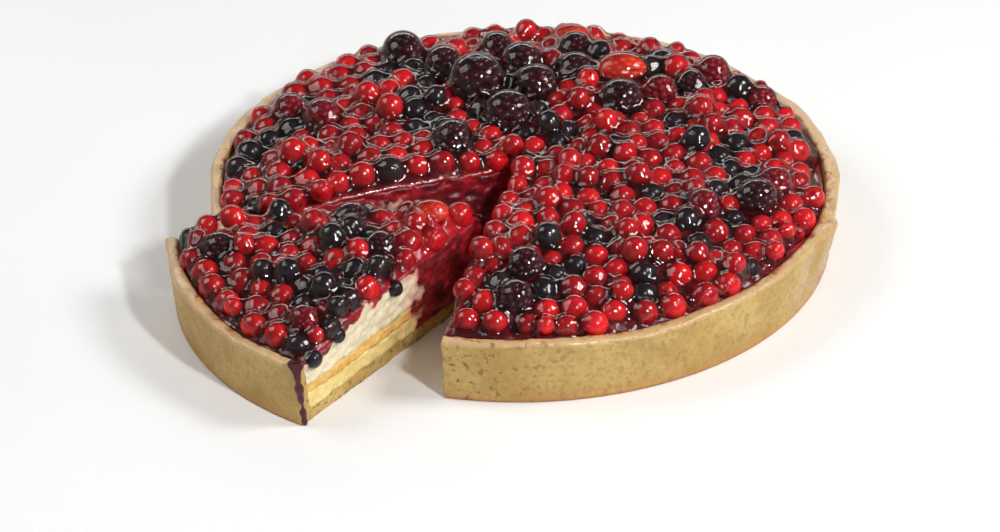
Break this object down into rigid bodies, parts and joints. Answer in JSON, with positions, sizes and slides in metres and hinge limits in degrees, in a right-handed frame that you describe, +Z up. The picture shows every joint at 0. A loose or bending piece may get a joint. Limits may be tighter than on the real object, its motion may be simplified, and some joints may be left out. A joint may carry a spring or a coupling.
{
  "type": "berry tart",
  "caption": "Round open tart in a pressed pastry case, layered filling under glazed mixed berries, with one slice cut and drawn part of the way out.",
  "frame": {"origin": "centre of the bounding box's footprint, on the surface that the tart stands on", "axes": "+Z up out of the berries; +X to the right of the drawn slice; -Y towards the viewer who faces the slice's cut corner"},
  "size_m": [0.2878, 0.2853, 0.0575],
  "materials": {
    "crust": "baked golden shortcrust pastry, fairly smooth, paler on its glazed rim and browner at its foot",
    "custard": "set clear yellow custard, moist",
    "sponge": "thin golden-orange sponge layer with fine pores",
    "cream": "soft ivory cream, stained red where the berries touch it",
    "redcurrant": "translucent red redcurrants under clear wet jelly",
    "bramble": "black to dark purple drupelets under clear jelly",
    "raspberry": "dark red drupelets under clear jelly",
    "strawberry": "bright red cut fruit under clear jelly",
    "blackcurrant": "black glossy blackcurrants under clear jelly",
    "jelly": "clear wet jelly between the berries, red where juice stains it"
  },
  "bodies": {
    "root": {"bramble_01": "bramble", "bramble_02": "bramble", "bramble_03": "bramble", "bramble_04": "bramble", "bramble_05": "bramble", "bramble_06": "bramble", "bramble_07": "bramble", "bramble_08": "bramble", "bramble_09": "bramble", "bramble_10": "bramble", "bramble_11": "bramble", "bramble_12": "bramble", "bramble_13": "bramble", "bramble_14": "bramble", "bramble_15": "bramble", "bramble_16": "bramble", "bramble_17": "bramble", "bramble_18": "bramble", "bramble_19": "bramble", "raspberry_01": "raspberry", "raspberry_02": "raspberry", "raspberry_03": "raspberry", "raspberry_04": "raspberry", "raspberry_05": "raspberry", "raspberry_06": "raspberry", "raspberry_07": "raspberry", "raspberry_08": "raspberry", "strawberry_01": "strawberry", "strawberry_02": "strawberry", "strawberry_03": "strawberry", "tart_crust": "crust", "tart_custard": "custard", "tart_sponge": "sponge", "tart_cream": "cream", "tart_berries": "redcurrant", "slice_crust": "crust", "slice_custard": "custard", "slice_sponge": "sponge", "slice_cream": "cream", "slice_berries": "redcurrant"}
  },
  "joints": []
}
